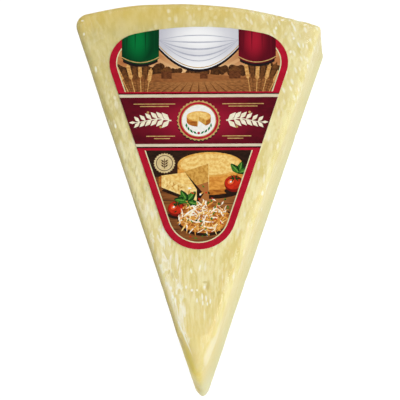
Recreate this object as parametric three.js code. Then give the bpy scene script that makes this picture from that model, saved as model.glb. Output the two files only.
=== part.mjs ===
// A wedge of hard grating cheese, sealed skin-tight in clear film, with a printed label on its upper face.
// Millimetres, +Z up. It lies on one of its large faces, with the tip towards -Y and the rind towards +Y.
// The origin is at the middle of the foot, under the centre of the bounding box.
import * as THREE from "three";
import { mergeVertices } from "three/addons/utils/BufferGeometryUtils.js";
import { ImprovedNoise } from "three/addons/math/ImprovedNoise.js";

const { degToRad, smoothstep } = THREE.MathUtils;

// The wedge: a sector of a small wheel, cut a little off-centre. Its cut planes meet at x = 0, y = 0.
const THICKNESS = 25.4; // one inch
const WEDGE_LENGTH = 125; // from where the cut planes meet to the middle of the rind
const RIND_SHIFT = -7.7; // how far the wheel's centre lies to the left of the wedge's own axis
const RIND_RADIUS = 127.8;
const WEDGE = {
  halfAngle: degToRad(18.1),
  apex: new THREE.Vector2(0, 0),
  arcCentre: new THREE.Vector2(RIND_SHIFT, WEDGE_LENGTH - Math.sqrt(RIND_RADIUS ** 2 - RIND_SHIFT ** 2)),
  arcRadius: RIND_RADIUS,
  tipRadius: 1.9,
  rightRadius: 1.4,
  leftRadius: 4.1,
};
// How far the top of each side stands out past its foot: the cuts weren't quite upright.
const OVERHANG = { left: 2.0, right: -0.7, rind: 0.65 };
const TOP_FILLET = 2.2;
const FOOT_FILLET = 0.8;
const FLARE = 0.4; // the film turns out a little where it is drawn down to the foot
const FLARE_HEIGHT = 5;
const HUB = new THREE.Vector2(0, 80); // the point of the large faces that their rings of vertices close on

// The label: a smaller sector with rounder corners, stuck on top of the film.
const LABEL_PLACE = new THREE.Vector2(-1.25, 16.4); // where the label's two long sides would meet
const LABEL_TURN = degToRad(0.32); // it was stuck on a little askew
const LABEL_TURN_ABOUT = new THREE.Vector2(0, 80);
const LABEL_THICKNESS = 0.25;
const LABEL_GAP = 0.05; // the film of adhesive between the label and the wrap
const LABEL_ARC_RADIUS = 91.1;
const LABEL_LENGTH = 100.7; // from where its sides would meet to the middle of its top arc
const LABEL = {
  halfAngle: degToRad(18),
  apex: new THREE.Vector2(0, 0),
  arcCentre: new THREE.Vector2(0, LABEL_LENGTH - LABEL_ARC_RADIUS),
  arcRadius: LABEL_ARC_RADIUS,
  tipRadius: 11.75,
  rightRadius: 10,
  leftRadius: 10,
};

// Unevenness of the cut faces under the film, which is drawn flat where the label sits.
const RELIEF_DEPTH = 0.16;
const RELIEF_WIDTH = 11;
const RELIEF_LENGTH = 19; // the dents run lengthwise, as the cutting wire left them
const FLAT_MARGIN = [0.8, 5]; // relief starts and is full this far outside the label

// How finely each stretch of an outline and each stretch of the profile is divided.
const WEDGE_STEPS = { tip: 8, right: 26, rightCorner: 6, rind: 22, leftCorner: 8, left: 26 };
const LABEL_STEPS = { tip: 18, right: 1, rightCorner: 10, rind: 16, leftCorner: 10, left: 1 };
const FOOT_STEPS = 3;
const SIDE_HEIGHTS = [0.08, 0.16, 0.3, 0.44, 0.58, 0.72, 0.86]; // as shares of the side between its two fillets
const FILLET_STEPS = 5;
const FACE_RINGS = 13;

// The point that lies at distance a along one unit normal and b along another.
function meetLines(normalA, a, normalB, b) {
  const det = normalA.cross(normalB);
  return new THREE.Vector2(
    (a * normalB.y - b * normalA.y) / det,
    (b * normalA.x - a * normalB.x) / det,
  );
}

// The upper of the two points where a line meets a circle.
function meetCircle(normal, distance, centre, radius) {
  const off = distance - centre.dot(normal);
  const half = Math.sqrt(radius ** 2 - off ** 2);
  const along = new THREE.Vector2(-normal.y, normal.x);
  if (along.y < 0) along.negate();
  return centre.clone().addScaledVector(normal, off).addScaledVector(along, half);
}

function arcPoints(centre, radius, from, to, steps) {
  const arc = new THREE.EllipseCurve(centre.x, centre.y, radius, radius, from, to);
  return arc.getPoints(steps).slice(0, -1);
}

function linePoints(from, to, steps) {
  return new THREE.LineCurve(from, to).getPoints(steps).slice(0, -1);
}

// A sector with rounded corners, counter-clockwise from the left of its tip. Each side can be moved out or in.
function sectorOutline(sector, shift, steps) {
  const { halfAngle, apex, arcCentre } = sector;
  const rightNormal = new THREE.Vector2(Math.cos(halfAngle), -Math.sin(halfAngle));
  const leftNormal = new THREE.Vector2(-Math.cos(halfAngle), -Math.sin(halfAngle));
  const right = apex.dot(rightNormal) + shift.right;
  const left = apex.dot(leftNormal) + shift.left;
  const arcRadius = sector.arcRadius + shift.rind;
  // A corner keeps a small radius however far the outline shrinks.
  const cornerRadius = (radius) =>
    shift.corner < 0 ? radius * Math.exp(shift.corner / radius) : radius + shift.corner;
  const tipRadius = cornerRadius(sector.tipRadius);
  const rightRadius = cornerRadius(sector.rightRadius);
  const leftRadius = cornerRadius(sector.leftRadius);
  const tip = meetLines(rightNormal, right - tipRadius, leftNormal, left - tipRadius);
  const rightCorner = meetCircle(rightNormal, right - rightRadius, arcCentre, arcRadius - rightRadius);
  const leftCorner = meetCircle(leftNormal, left - leftRadius, arcCentre, arcRadius - leftRadius);
  const rightAngle = rightCorner.clone().sub(arcCentre).angle();
  const leftAngle = leftCorner.clone().sub(arcCentre).angle();
  const onRight = (centre, radius) => centre.clone().addScaledVector(rightNormal, radius);
  const onLeft = (centre, radius) => centre.clone().addScaledVector(leftNormal, radius);
  return [
    ...arcPoints(tip, tipRadius, halfAngle - Math.PI, -halfAngle, steps.tip),
    ...linePoints(onRight(tip, tipRadius), onRight(rightCorner, rightRadius), steps.right),
    ...arcPoints(rightCorner, rightRadius, -halfAngle, rightAngle, steps.rightCorner),
    ...arcPoints(arcCentre, arcRadius, rightAngle, leftAngle, steps.rind),
    ...arcPoints(leftCorner, leftRadius, leftAngle, Math.PI + halfAngle, steps.leftCorner),
    ...linePoints(onLeft(leftCorner, leftRadius), onLeft(tip, tipRadius), steps.left),
  ];
}

// The levels of the wedge from the middle of its foot to the middle of its top: height, inset and share of the way out.
function wedgeLevels() {
  const levels = [{ z: 0, inset: FOOT_FILLET, reach: 0 }];
  for (let k = 0; k <= FOOT_STEPS; k += 1) {
    const a = (k / FOOT_STEPS) * (Math.PI / 2);
    levels.push({ z: FOOT_FILLET * (1 - Math.cos(a)), inset: FOOT_FILLET * (1 - Math.sin(a)), reach: 1 });
  }
  const sideHeight = THICKNESS - FOOT_FILLET - TOP_FILLET;
  for (const share of SIDE_HEIGHTS) levels.push({ z: FOOT_FILLET + share * sideHeight, inset: 0, reach: 1 });
  for (let k = 0; k <= FILLET_STEPS; k += 1) {
    const a = (k / FILLET_STEPS) * (Math.PI / 2);
    const z = THICKNESS - TOP_FILLET * (1 - Math.sin(a));
    levels.push({ z, inset: TOP_FILLET * (1 - Math.cos(a)), reach: 1 });
  }
  for (let k = FACE_RINGS - 1; k >= 0; k -= 1)
    levels.push({ z: THICKNESS, inset: TOP_FILLET, reach: k / FACE_RINGS });
  return levels;
}

function levelOutline({ z, inset }) {
  const flare = FLARE * Math.max(0, 1 - z / FLARE_HEIGHT) ** 2;
  const out = flare - inset;
  const lean = z / THICKNESS;
  return sectorOutline(
    WEDGE,
    {
      left: OVERHANG.left * lean + out,
      right: OVERHANG.right * lean + out,
      rind: OVERHANG.rind * lean + out,
      corner: out,
    },
    WEDGE_STEPS,
  );
}

// From the wedge's frame to the label's own, in which its sides meet at the origin.
function toLabel(x, y) {
  return new THREE.Vector2(x, y)
    .sub(LABEL_PLACE)
    .sub(LABEL_TURN_ABOUT)
    .rotateAround(new THREE.Vector2(), -LABEL_TURN)
    .add(LABEL_TURN_ABOUT);
}

// How far a point of the upper face lies outside the label, roughly: negative under it.
function labelDistance(x, y) {
  const point = toLabel(x, y);
  const { halfAngle, arcCentre, arcRadius, tipRadius } = LABEL;
  const lowest = tipRadius / Math.sin(halfAngle) - tipRadius;
  return Math.max(
    Math.abs(point.x) * Math.cos(halfAngle) - point.y * Math.sin(halfAngle),
    point.distanceTo(arcCentre) - arcRadius,
    lowest - point.y,
  );
}

const noise = new ImprovedNoise();

// How far the surface stands out of its plain form. The foot and the ground under the label stay flat.
function relief(x, y, z) {
  const waves = noise.noise(x / RELIEF_WIDTH, y / RELIEF_LENGTH, z / RELIEF_WIDTH);
  const aboveFoot = smoothstep(z, FOOT_FILLET, FLARE_HEIGHT);
  const onFace = smoothstep(z, THICKNESS - TOP_FILLET, THICKNESS);
  const clearOfLabel = smoothstep(labelDistance(x, y), ...FLAT_MARGIN);
  return RELIEF_DEPTH * waves * aboveFoot * (1 - onFace * (1 - clearOfLabel));
}

// A turned form whose rings are then drawn out to the rounded sector, closed top and bottom at its axis.
function wedgeGeometry() {
  const levels = wedgeLevels();
  const rings = levels.map(levelOutline);
  const columns = rings[0].length;
  const turned = new THREE.LatheGeometry(
    levels.map(({ reach }, row) => new THREE.Vector2(reach, row)),
    columns,
  );
  turned.deleteAttribute("normal");
  turned.deleteAttribute("uv");
  const position = turned.getAttribute("position");
  levels.forEach(({ z, reach }, row) => {
    for (let column = 0; column <= columns; column += 1) {
      const point = new THREE.Vector2().lerpVectors(HUB, rings[row][column % columns], reach);
      position.setXYZ(column * levels.length + row, point.x, point.y, z);
    }
  });
  const wedge = mergeVertices(turned);
  wedge.computeVertexNormals();
  const at = wedge.getAttribute("position");
  const normal = wedge.getAttribute("normal");
  const vertex = new THREE.Vector3();
  const out = new THREE.Vector3();
  for (let i = 0; i < at.count; i += 1) {
    vertex.fromBufferAttribute(at, i);
    out.fromBufferAttribute(normal, i);
    vertex.addScaledVector(out, relief(vertex.x, vertex.y, vertex.z));
    at.setXYZ(i, vertex.x, vertex.y, vertex.z);
  }
  wedge.computeVertexNormals();
  return wedge;
}

function labelGeometry() {
  const flush = { left: 0, right: 0, rind: 0, corner: 0 };
  const shape = new THREE.Shape(sectorOutline(LABEL, flush, LABEL_STEPS));
  return new THREE.ExtrudeGeometry(shape, { depth: LABEL_THICKNESS, bevelEnabled: false });
}

const wedge = new THREE.Mesh(
  wedgeGeometry(),
  new THREE.MeshStandardMaterial({ color: 0xe6d596, roughness: 0.35, metalness: 0 }),
);
wedge.name = "wedge";

// The label turns about a point on its own axis, so that the turn leaves it on the middle of the face.
const label = new THREE.Mesh(
  labelGeometry(),
  new THREE.MeshStandardMaterial({ color: 0x8c1428, roughness: 0.4, metalness: 0 }),
);
label.name = "label";
label.position.set(-LABEL_TURN_ABOUT.x, -LABEL_TURN_ABOUT.y, 0);
const labelTurn = new THREE.Group();
labelTurn.rotation.z = LABEL_TURN;
labelTurn.position.set(
  LABEL_PLACE.x + LABEL_TURN_ABOUT.x,
  LABEL_PLACE.y + LABEL_TURN_ABOUT.y,
  THICKNESS + LABEL_GAP,
);
labelTurn.add(label);

// Everything is moved together so that the origin is under the middle of the bounding box.
const chunk = new THREE.Group();
chunk.add(wedge, labelTurn);
const box = new THREE.Box3().setFromObject(chunk);
const middle = box.getCenter(new THREE.Vector3());
chunk.position.set(-middle.x, -middle.y, -box.min.z);

const part = new THREE.Group();
part.add(chunk);

export default part;
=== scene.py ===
import math
import random
from types import SimpleNamespace

import bmesh
import bpy
from mathutils import Matrix, Vector, geometry, noise


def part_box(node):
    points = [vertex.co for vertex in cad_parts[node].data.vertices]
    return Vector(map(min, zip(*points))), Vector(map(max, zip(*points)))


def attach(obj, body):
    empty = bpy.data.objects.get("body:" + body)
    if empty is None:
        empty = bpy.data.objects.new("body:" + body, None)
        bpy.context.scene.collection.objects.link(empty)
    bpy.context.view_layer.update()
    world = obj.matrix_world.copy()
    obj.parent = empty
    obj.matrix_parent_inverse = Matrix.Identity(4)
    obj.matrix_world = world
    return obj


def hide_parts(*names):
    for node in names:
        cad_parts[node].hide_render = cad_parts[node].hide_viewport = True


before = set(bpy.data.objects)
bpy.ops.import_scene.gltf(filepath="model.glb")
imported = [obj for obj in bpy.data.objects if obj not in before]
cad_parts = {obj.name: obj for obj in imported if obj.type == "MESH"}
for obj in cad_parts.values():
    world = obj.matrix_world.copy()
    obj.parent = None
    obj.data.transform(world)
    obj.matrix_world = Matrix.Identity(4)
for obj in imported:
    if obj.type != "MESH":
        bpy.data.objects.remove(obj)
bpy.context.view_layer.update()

mm = 0.001  # every size below is in millimetres
wedgeShape = {
    "tip": (1.149, -64.089),  # where the two cut faces would meet
    "wheelCentre": (-6.55, -66.7),  # centre of the rind's arc
    "wheelRadius": 127.8,
    "topHeight": 25.4,
    "halfAngle": 18.1,  # degrees
    "rearCorner": (38.05, 51.2),  # where the right face meets the rind
    "tipSpread": 0.95,
    "tipPoint": 0.7,
    "tipDroop": 1.6,
    "sideSpread": (0.18, 0.28),  # left and right
    "cornerSpread": (-0.08, 0.3),
    "cornerFoot": (0.5, 0.7),
    "rearBulge": (-20.5, 8, 0.33),  # place across, reach, height
}


# Small tools

def srgb(red, green, blue):  # a colour as a screen shows it, 0 to 255, made linear
    def straighten(value):
        share = value / 255
        if share <= 0.04045:
            return share / 12.92
        return ((share + 0.055) / 1.055) ** 2.4
    return (straighten(red), straighten(green), straighten(blue), 1)


def smoothStep(low, high, value):
    share = min(max((value - low) / (high - low), 0), 1)
    return share * share * (3 - 2 * share)


def newPiece(name, mesh, body="root"):
    piece = bpy.data.objects.new(name, mesh)
    bpy.context.collection.objects.link(piece)
    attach(piece, body)
    return piece


def fillSockets(node, values):  # a linked value is joined up, and a plain one is set
    for socket, value in values.items():
        if isinstance(value, bpy.types.NodeSocket):
            node.id_data.links.new(value, node.inputs[socket])
        else:
            node.inputs[socket].default_value = value
    return node


def addNode(tree, kind, values=None, **settings):
    node = tree.nodes.new("ShaderNode" + kind)
    for name, value in settings.items():
        setattr(node, name, value)
    return fillSockets(node, values or {})


def nextNode(kind, values, **settings):  # in the tree that its first linked value belongs to
    linked = (value for value in values.values() if isinstance(value, bpy.types.NodeSocket))
    return addNode(next(linked).id_data, kind, values, **settings)


def calculate(operation, first, second=0, third=0):
    return nextNode("Math", {0: first, 1: second, 2: third}, operation=operation).outputs[0]


def product(first, *others):
    for other in others:
        first = calculate("MULTIPLY", first, other)
    return first


def ramp(value, low, high, least=0, most=1):  # smooth change from least to most
    values = {"Value": value, "From Min": low, "From Max": high, "To Min": least, "To Max": most}
    return nextNode("MapRange", values, interpolation_type="SMOOTHSTEP").outputs["Result"]


def band(value, start, full, fading, end):  # rises from start to full, and falls from fading to end
    return product(ramp(value, start, full), ramp(value, fading, end, 1, 0))


def moved(vector, shift=(0, 0, 0), turn=0, stretch=(1, 1, 1)):  # stretched, turned, then shifted
    rotation = (0, 0, math.radians(turn))
    values = {"Vector": vector, "Location": shift, "Rotation": rotation, "Scale": stretch}
    return nextNode("Mapping", values).outputs[0]


def stretched(vector, factors):
    return nextNode("VectorMath", {0: vector, 1: factors}, operation="MULTIPLY").outputs[0]


def measure(operation, first, second=(0, 0, 0)):  # a length, a distance, or how far two directions agree
    return nextNode("VectorMath", {0: first, 1: second}, operation=operation).outputs["Value"]


def axes(vector):  # its X, Y and Z
    return tuple(nextNode("SeparateXYZ", {0: vector}).outputs)


def blendColours(share, first, second):
    return nextNode("Mix", {0: share, 6: first, 7: second}, data_type="RGBA").outputs[2]


def grainNoise(vector, scale, detail=2, roughness=0.5, distortion=0,
               stretch=(1, 1, 1), shift=(0, 0, 0)):
    values = {"Vector": moved(vector, shift, stretch=stretch), "Scale": scale, "Detail": detail,
              "Roughness": roughness, "Distortion": distortion}
    return nextNode("TexNoise", values).outputs["Fac"]


def slivers(vector, scale, share, size, shift):  # a soft oval in some cells of a pattern
    cells = nextNode("TexVoronoi", {"Vector": moved(vector, shift, stretch=(1, 1, 0.6)), "Scale": scale})
    chances = nextNode("SeparateColor", {0: cells.outputs["Color"]}).outputs
    chosen = ramp(chances[0], share - 0.02, share + 0.02, 1, 0)
    strength = calculate("MULTIPLY_ADD", chances[1], 0.6, 0.4)
    return product(chosen, strength, ramp(cells.outputs["Distance"], size * 0.45, size, 1, 0))


def newMaterial(name, values):  # a Principled surface, with its plain values set by socket name
    material = bpy.data.materials.new(name)
    material.use_nodes = True
    tree = material.node_tree
    return material, tree, fillSockets(tree.nodes["Principled BSDF"], values)


def newGroup(name, inputs, outputs):
    group = bpy.data.node_groups.new(name, "ShaderNodeTree")
    for socketName, kind, value in inputs:
        socket = group.interface.new_socket(socketName, in_out="INPUT", socket_type="NodeSocket" + kind)
        if value is not None:
            socket.default_value = value
    for socketName, kind in outputs:
        group.interface.new_socket(socketName, in_out="OUTPUT", socket_type="NodeSocket" + kind)
    return group, group.nodes.new("NodeGroupInput"), group.nodes.new("NodeGroupOutput")


# Camera: the wedge lies flat and the camera looks down on it from the tip's side

cameraSettings = {
    "target": (0.52, -5.12, 25.4),
    "azimuth": 3.0,  # degrees, from the tip's side towards the right
    "elevation": 70.86,
    "roll": -2.8,
    "distance": 945,
    "lens": 273.1,
    "sensor": 36,
}


def makeCamera():
    settings = cameraSettings
    azimuth, elevation, roll = (math.radians(settings[k]) for k in ("azimuth", "elevation", "roll"))
    back = Vector((math.sin(azimuth) * math.cos(elevation),
                   -math.cos(azimuth) * math.cos(elevation),
                   math.sin(elevation)))
    right = Vector((math.cos(azimuth), math.sin(azimuth), 0))
    turned = Matrix.Rotation(roll, 3, back)
    right = turned @ right
    up = back.cross(right)
    data = bpy.data.cameras.new("camera")
    data.lens = settings["lens"]
    data.sensor_width = settings["sensor"]
    data.clip_end = 10
    camera = bpy.data.objects.new("camera", data)
    bpy.context.collection.objects.link(camera)
    place = Matrix((right, up, back)).transposed().to_4x4()
    place.translation = (Vector(settings["target"]) + back * settings["distance"]) * mm
    camera.matrix_world = place
    bpy.context.scene.camera = camera


makeCamera()
print("camera placed")


# Floor and soft studio light

studioSettings = {
    "floorSize": 3000,
    "floorColour": srgb(100, 100, 99),
    "floorGlow": 0.97,  # a light table, so that its shadows stay faint
    "glowColour": srgb(255, 255, 254),
    "brightSide": (0.85, -0.35, 0.4),  # the surround is brightest there and dimmest opposite
    "surroundDim": 0.13,
    "surroundBright": 0.5,
    "surroundColour": srgb(255, 255, 254),
    "lights": [  # place, width across and along, power in watts
        {"name": "keyLight", "place": (150, -140, 540), "size": (380, 380), "power": 1.75},
        {"name": "backLight", "place": (160, 620, 520), "size": (520, 520), "power": 1.1},
        {"name": "stripLight", "place": (600, 40, 420), "size": (600, 100), "power": 0.25},
    ],
}


def makeStudio():
    settings = studioSettings
    scene = bpy.context.scene
    scene.view_settings.view_transform = "Standard"
    world = bpy.data.worlds.new("studio")
    world.use_nodes = True
    direction = addNode(world.node_tree, "TexCoord").outputs["Generated"]
    facing = measure("DOT_PRODUCT", direction, Vector(settings["brightSide"]).normalized())
    strength = ramp(facing, -0.8, 0.9, settings["surroundDim"], settings["surroundBright"])
    surround = world.node_tree.nodes["Background"]
    fillSockets(surround, {"Color": settings["surroundColour"], "Strength": strength})
    scene.world = world

    floorMesh = bmesh.new()
    bmesh.ops.create_grid(floorMesh, x_segments=1, y_segments=1, size=settings["floorSize"] / 2 * mm)
    bmesh.ops.translate(floorMesh, verts=floorMesh.verts, vec=(0, 0, -0.02 * mm))
    mesh = bpy.data.meshes.new("floor")
    floorMesh.to_mesh(mesh)
    floorMesh.free()
    values = {"Roughness": 0.75, "Specular IOR Level": 0.2, "Base Color": settings["floorColour"],
              "Emission Color": settings["glowColour"], "Emission Strength": settings["floorGlow"]}
    mesh.materials.append(newMaterial("paleFloor", values)[0])
    floor = bpy.data.objects.new("floor", mesh)
    bpy.context.collection.objects.link(floor)

    for light in settings["lights"]:
        data = bpy.data.lights.new(light["name"], "AREA")
        data.shape = "RECTANGLE"
        data.size, data.size_y = (width * mm for width in light["size"])
        data.energy = light["power"]
        lamp = bpy.data.objects.new(light["name"], data)
        bpy.context.collection.objects.link(lamp)
        lamp.location = Vector(light["place"]) * mm
        aim = Vector((0, 0, wedgeShape["topHeight"] * mm)) - lamp.location
        lamp.rotation_euler = aim.to_track_quat("-Z", "Y").to_euler()


makeStudio()
print("studio lit")


# Surface noise that more than one piece uses

def makeGrainSpace():
    # millimetres from the tip, and the same squeezed along the wedge and opening towards the rind,
    # as the paste's grain does
    inputs = [("Vector", "Vector", None), ("Opening", "Float", 0.0141), ("Stretch", "Float", 0.17)]
    outputs = [("Vector", "Vector"), ("Millimetres", "Vector")]
    group, start, end = newGroup("grainSpace", inputs, outputs)
    tip = wedgeShape["tip"]
    inMillimetres = moved(start.outputs["Vector"], (-tip[0], -tip[1], 0), stretch=(1000, 1000, 1000))
    x, y, z = axes(inMillimetres)
    across = calculate("DIVIDE", x, calculate("MULTIPLY_ADD", y, start.outputs["Opening"], 1))
    along = product(y, start.outputs["Stretch"])
    joined = nextNode("CombineXYZ", {0: across, 1: along, 2: product(z, 0.5)})
    fillSockets(end, {"Vector": joined.outputs[0], "Millimetres": inMillimetres})
    return group


grainSpace = makeGrainSpace()


def grainPlaces(tree, stretch):  # millimetres from the tip, and the place in the grain
    values = {"Vector": addNode(tree, "TexCoord").outputs["Object"], "Stretch": stretch}
    space = addNode(tree, "Group", values, node_tree=grainSpace)
    return space.outputs["Millimetres"], space.outputs["Vector"]


# The base both the cheese and its film are made from: the wedge's own surface as one even mesh

def evenMesh(nodeName, voxel):
    work = bmesh.new()
    work.from_mesh(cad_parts[nodeName].data)
    bmesh.ops.remove_doubles(work, verts=work.verts, dist=0.001 * mm)
    bmesh.ops.join_triangles(work, faces=work.faces, angle_face_threshold=math.radians(40),
                             angle_shape_threshold=math.radians(60))
    mesh = bpy.data.meshes.new("even")
    work.to_mesh(mesh)
    work.free()
    source = bpy.data.objects.new("even", mesh)
    bpy.context.collection.objects.link(source)
    remesh = source.modifiers.new("remesh", "REMESH")
    remesh.mode = "VOXEL"
    remesh.voxel_size = voxel * mm
    wrap = source.modifiers.new("wrap", "SHRINKWRAP")
    wrap.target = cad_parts[nodeName]
    wrap.wrap_method = "NEAREST_SURFACEPOINT"
    soften = source.modifiers.new("soften", "SMOOTH")
    soften.factor = 0.5
    soften.iterations = 4
    view = bpy.context.evaluated_depsgraph_get()
    even = bpy.data.meshes.new_from_object(source.evaluated_get(view))
    bpy.data.objects.remove(source)
    softenTip(even)
    return even


def softenTip(mesh, reach=15, low=5, rounds=90):  # the tip is worn round, but not where it stands
    work = bmesh.new()
    work.from_mesh(mesh)
    tipY = wedgeShape["tip"][1]
    near = [vert for vert in work.verts if vert.co.y / mm - tipY < reach and vert.co.z / mm > low]
    for step in range(rounds):
        bmesh.ops.smooth_vert(work, verts=near, factor=0.5,
                              use_axis_x=True, use_axis_y=True, use_axis_z=True)
    work.to_mesh(mesh)
    work.free()


def settle(place):  # a soft wedge spreads where it lies, most at its corners
    shape = wedgeShape
    acrossTip, fromTip = place.x - shape["tip"][0], place.y - shape["tip"][1]
    low = 1 - smoothStep(1, 22, place.z)
    near = 1 - smoothStep(2, 14, fromTip)
    point = shape["tipPoint"] * math.exp(-((acrossTip - 0.2) / 1.2) ** 2)
    lean = 1 + 0.15 * min(max(acrossTip, -2), 2)
    droop = shape["tipDroop"] * (1 - smoothStep(0, 12, fromTip)) * smoothStep(4, 25, place.z)
    shift = Vector((0, -(shape["tipSpread"] * lean + point) * low * near, -droop))
    halfWidth = max(fromTip * math.tan(math.radians(shape["halfAngle"])), 3)
    spread = shape["sideSpread"][acrossTip > 0] + 0.22 * math.exp(-((fromTip - 16) / 6) ** 2)
    shift.x += spread * smoothStep(1, 7, fromTip) * acrossTip / halfWidth
    bulgeAt, bulgeReach, bulge = shape["rearBulge"]
    shift.y += bulge * smoothStep(100, 115, fromTip) * math.exp(-((place.x - bulgeAt) / bulgeReach) ** 2)
    away = place.to_2d() - Vector(shape["rearCorner"])
    atCorner = math.exp(-away.length_squared / 90)
    shift += (Vector((*shape["cornerSpread"], 0)) + Vector((*shape["cornerFoot"], 0)) * low) * atCorner
    return shift


# Each vertex settles, and moves along its normal by shiftAt(place, normal) millimetres
def shiftSurface(mesh, shiftAt):
    moves = [(vert, vert.normal.copy(), vert.co / mm) for vert in mesh.vertices]
    for vert, normal, place in moves:
        vert.co += (normal * shiftAt(place, normal) + settle(place)) * mm
    mesh.update()
    mesh.shade_smooth()


# The cheese

cheeseSettings = {
    "voxel": 0.5,
    "clearance": 0.08,  # how far the paste lies under the film's face
    "swell": 0.05,
    "grainDepth": 0.04,
    "pits": [  # place, radius, depth
        ((2.2, -33.2, 25.4), 1.1, 0.4),
        ((-8.6, -29.6, 25.4), 1.0, 0.25),
    ],
    "scatteredPits": 150,
    "pitRadius": (0.45, 1.3),
    "pitDepth": (0.1, 0.35),
    "seed": 11,
}


def scatterPits(mesh, settings):
    draw = random.Random(settings["seed"])
    pits = [(Vector(place), radius, depth) for place, radius, depth in settings["pits"]]
    for vert in draw.sample(list(mesh.vertices), settings["scatteredPits"]):
        radius = draw.uniform(*settings["pitRadius"])
        depth = draw.uniform(*settings["pitDepth"])
        pits.append((vert.co / mm, radius, depth))
    return pits


def makeCheese():
    settings = cheeseSettings
    mesh = evenMesh("wedge", settings["voxel"])
    pits = scatterPits(mesh, settings)
    reach = 2.2 * max(radius for place, radius, depth in pits)

    def sinkAt(place, normal):
        stretched = Vector((place.x, place.y * 0.35, place.z))
        sink = settings["clearance"]
        sink += settings["swell"] * (0.5 - 0.5 * noise.noise(stretched * 0.16))
        sink += settings["grainDepth"] * abs(noise.noise(stretched * 0.9))
        for centre, radius, depth in pits:
            away = centre - place
            if abs(away.x) < reach and abs(away.y) < reach and abs(away.z) < reach:
                sink += depth * math.exp(-away.length_squared / (radius * radius))
        return -sink

    shiftSurface(mesh, sinkAt)
    mesh.name = "cheese"
    return newPiece("cheese", mesh)


cheeseLook = {
    "paste": srgb(234, 216, 142),
    "shadyPaste": srgb(205, 191, 124),
    "warmPaste": srgb(234, 211, 126),
    "goldPaste": srgb(222, 204, 119),
    "palePaste": srgb(245, 236, 184),
    "sliverAndHighlight": srgb(250, 243, 210),
    "fleck": srgb(254, 251, 236),
    "hazeAndHighlight": srgb(247, 240, 208),
    "leftEdgeShade": srgb(136, 114, 40),
    "leftTurnShade": srgb(212, 192, 86),
    "tipLeftLight": srgb(232, 211, 86),
    "footPaste": srgb(214, 203, 128),
    "tipFootSheen": srgb(226, 222, 178),
    "ridgeHighlight": srgb(243, 243, 187),
    "rightFaceSheen": srgb(221, 226, 200),
    "leftFaceLight": srgb(246, 220, 142),
    "rimPaste": srgb(222, 192, 78),
    "rind": srgb(216, 184, 110),
    "rindPores": srgb(203, 167, 98),
    "pitShade": srgb(208, 184, 96),
    "layers": [  # paint, grain for each millimetre, threshold from and to, strength, shift
        ("goldPaste", 0.2, 0.40, 0.66, 0.4, (31, 7, 3)),
        ("palePaste", 0.3, 0.42, 0.66, 0.45, (0, 0, 0)),
        ("goldPaste", 0.8, 0.46, 0.70, 0.6, (14, 5, 1)),
        ("palePaste", 0.9, 0.46, 0.64, 0.7, (3, 17, 8)),
        ("goldPaste", 1.9, 0.46, 0.66, 0.5, (5, 12, 2)),
        ("palePaste", 1.8, 0.48, 0.64, 0.6, (9, 2, 5)),
    ],
    # painted shade inside the two largest pits
    "pitShadeSpots": [  # place, half width, half length, turn in degrees
        (3.1, -33.0, 0.55, 1.7, -8),
        (2.3, -31.9, 0.9, 0.45, 0),
        (-7.9, -29.7, 0.4, 1.3, 12),
        (-8.9, -28.7, 0.3, 1.0, -20),
    ],
    "flecksAndGlint": [  # crystals and slivers that stand out, and one painted glint along a crease of the film
        (2.1, -33.4, 0.4, 0.45, 0),
        (-3.6, -33.5, 0.35, 0.6, 0),
        (-1.8, -34.5, 0.4, 0.5, 0),
        (-0.2, -34.5, 0.3, 0.45, 0),
        (1.4, -36.6, 0.32, 1.2, 4),
        (-0.2, -37.8, 0.28, 0.8, 0),
        (1.6, -38.6, 0.26, 0.9, 0),
        (2.6, -37.1, 0.28, 1.0, 6),
        (3.0, -38.9, 0.25, 0.7, 0),
        (3.9, -38.1, 0.25, 0.9, -6),
        (0.6, -27.3, 0.3, 1.2, -8),
        (-2.1, -28.3, 0.28, 0.9, 10),
        (-8.3, -33.9, 0.45, 0.7, 10),
        (-7.7, -36.6, 0.4, 0.8, 20),
        (-6.9, -37.9, 0.35, 1.1, 0),
        # a painted glint along a crease of the film near the tip's left edge
        (-4.1, -49.0, 0.26, 6.4, 22.5),
        (24.3, 52.7, 0.4, 0.6, 0),
        (26.4, 55.5, 0.6, 0.35, 10),
        (33.6, 53.9, 0.6, 0.3, 10),
        (30.2, 52.6, 0.35, 1.3, 20),
        (29.9, 49.2, 0.4, 0.5, 0),
        (31.6, 46.9, 0.3, 1.1, 18),
        (32.9, 46.8, 0.25, 0.9, 5),
        (28.9, 44.6, 0.4, 0.6, 0),
        (-37.3, 55.3, 0.5, 0.35, 0),
        (-36.7, 50.7, 0.35, 0.55, 0),
        (-32.7, 38.7, 0.4, 1.1, 8),
        (-26.2, 19.5, 0.35, 0.9, 12),
    ],
    "rearTurn": 18,  # degrees; the crystals in the rear corner lie across the grain
    "leftLean": 16,  # degrees; those on the left lean away from it
    "slivers": [  # paint, strength, space, cells for each millimetre, share of them, size, shift, place
        ("sliverAndHighlight", 0.4, "grain", 0.6, 0.5, 0.42, (0, 0, 0), "middle"),
        ("sliverAndHighlight", 0.75, "grain", 1.15, 0.36, 0.42, (8, 3, 2), "middle"),
        ("goldPaste", 0.8, "crossed", 0.6, 0.6, 0.55, (9, 5, 3), "corner"),
        ("fleck", 0.75, "crossed", 0.85, 0.6, 0.48, (4, 9, 2), "corner"),
        ("sliverAndHighlight", 0.55, "short", 1.5, 0.6, 0.46, (6, 1, 4), "rim"),
        ("sliverAndHighlight", 0.8, "leaning", 0.75, 0.6, 0.42, (3, 8, 5), "left"),
        ("palePaste", 0.4, "leaning", 1.7, 0.55, 0.44, (5, 2, 1), "left"),
        ("shadyPaste", 0.7, "leaning", 1.3, 0.7, 0.5, (1, 7, 3), "left"),
        ("fleck", 0.8, "grain", 1.3, 0.5, 0.4, (5, 2, 9), "middle"),
        ("fleck", 0.85, "short", 1.0, 0.14, 0.32, (1, 6, 3), "patches"),
    ],
}


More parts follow.
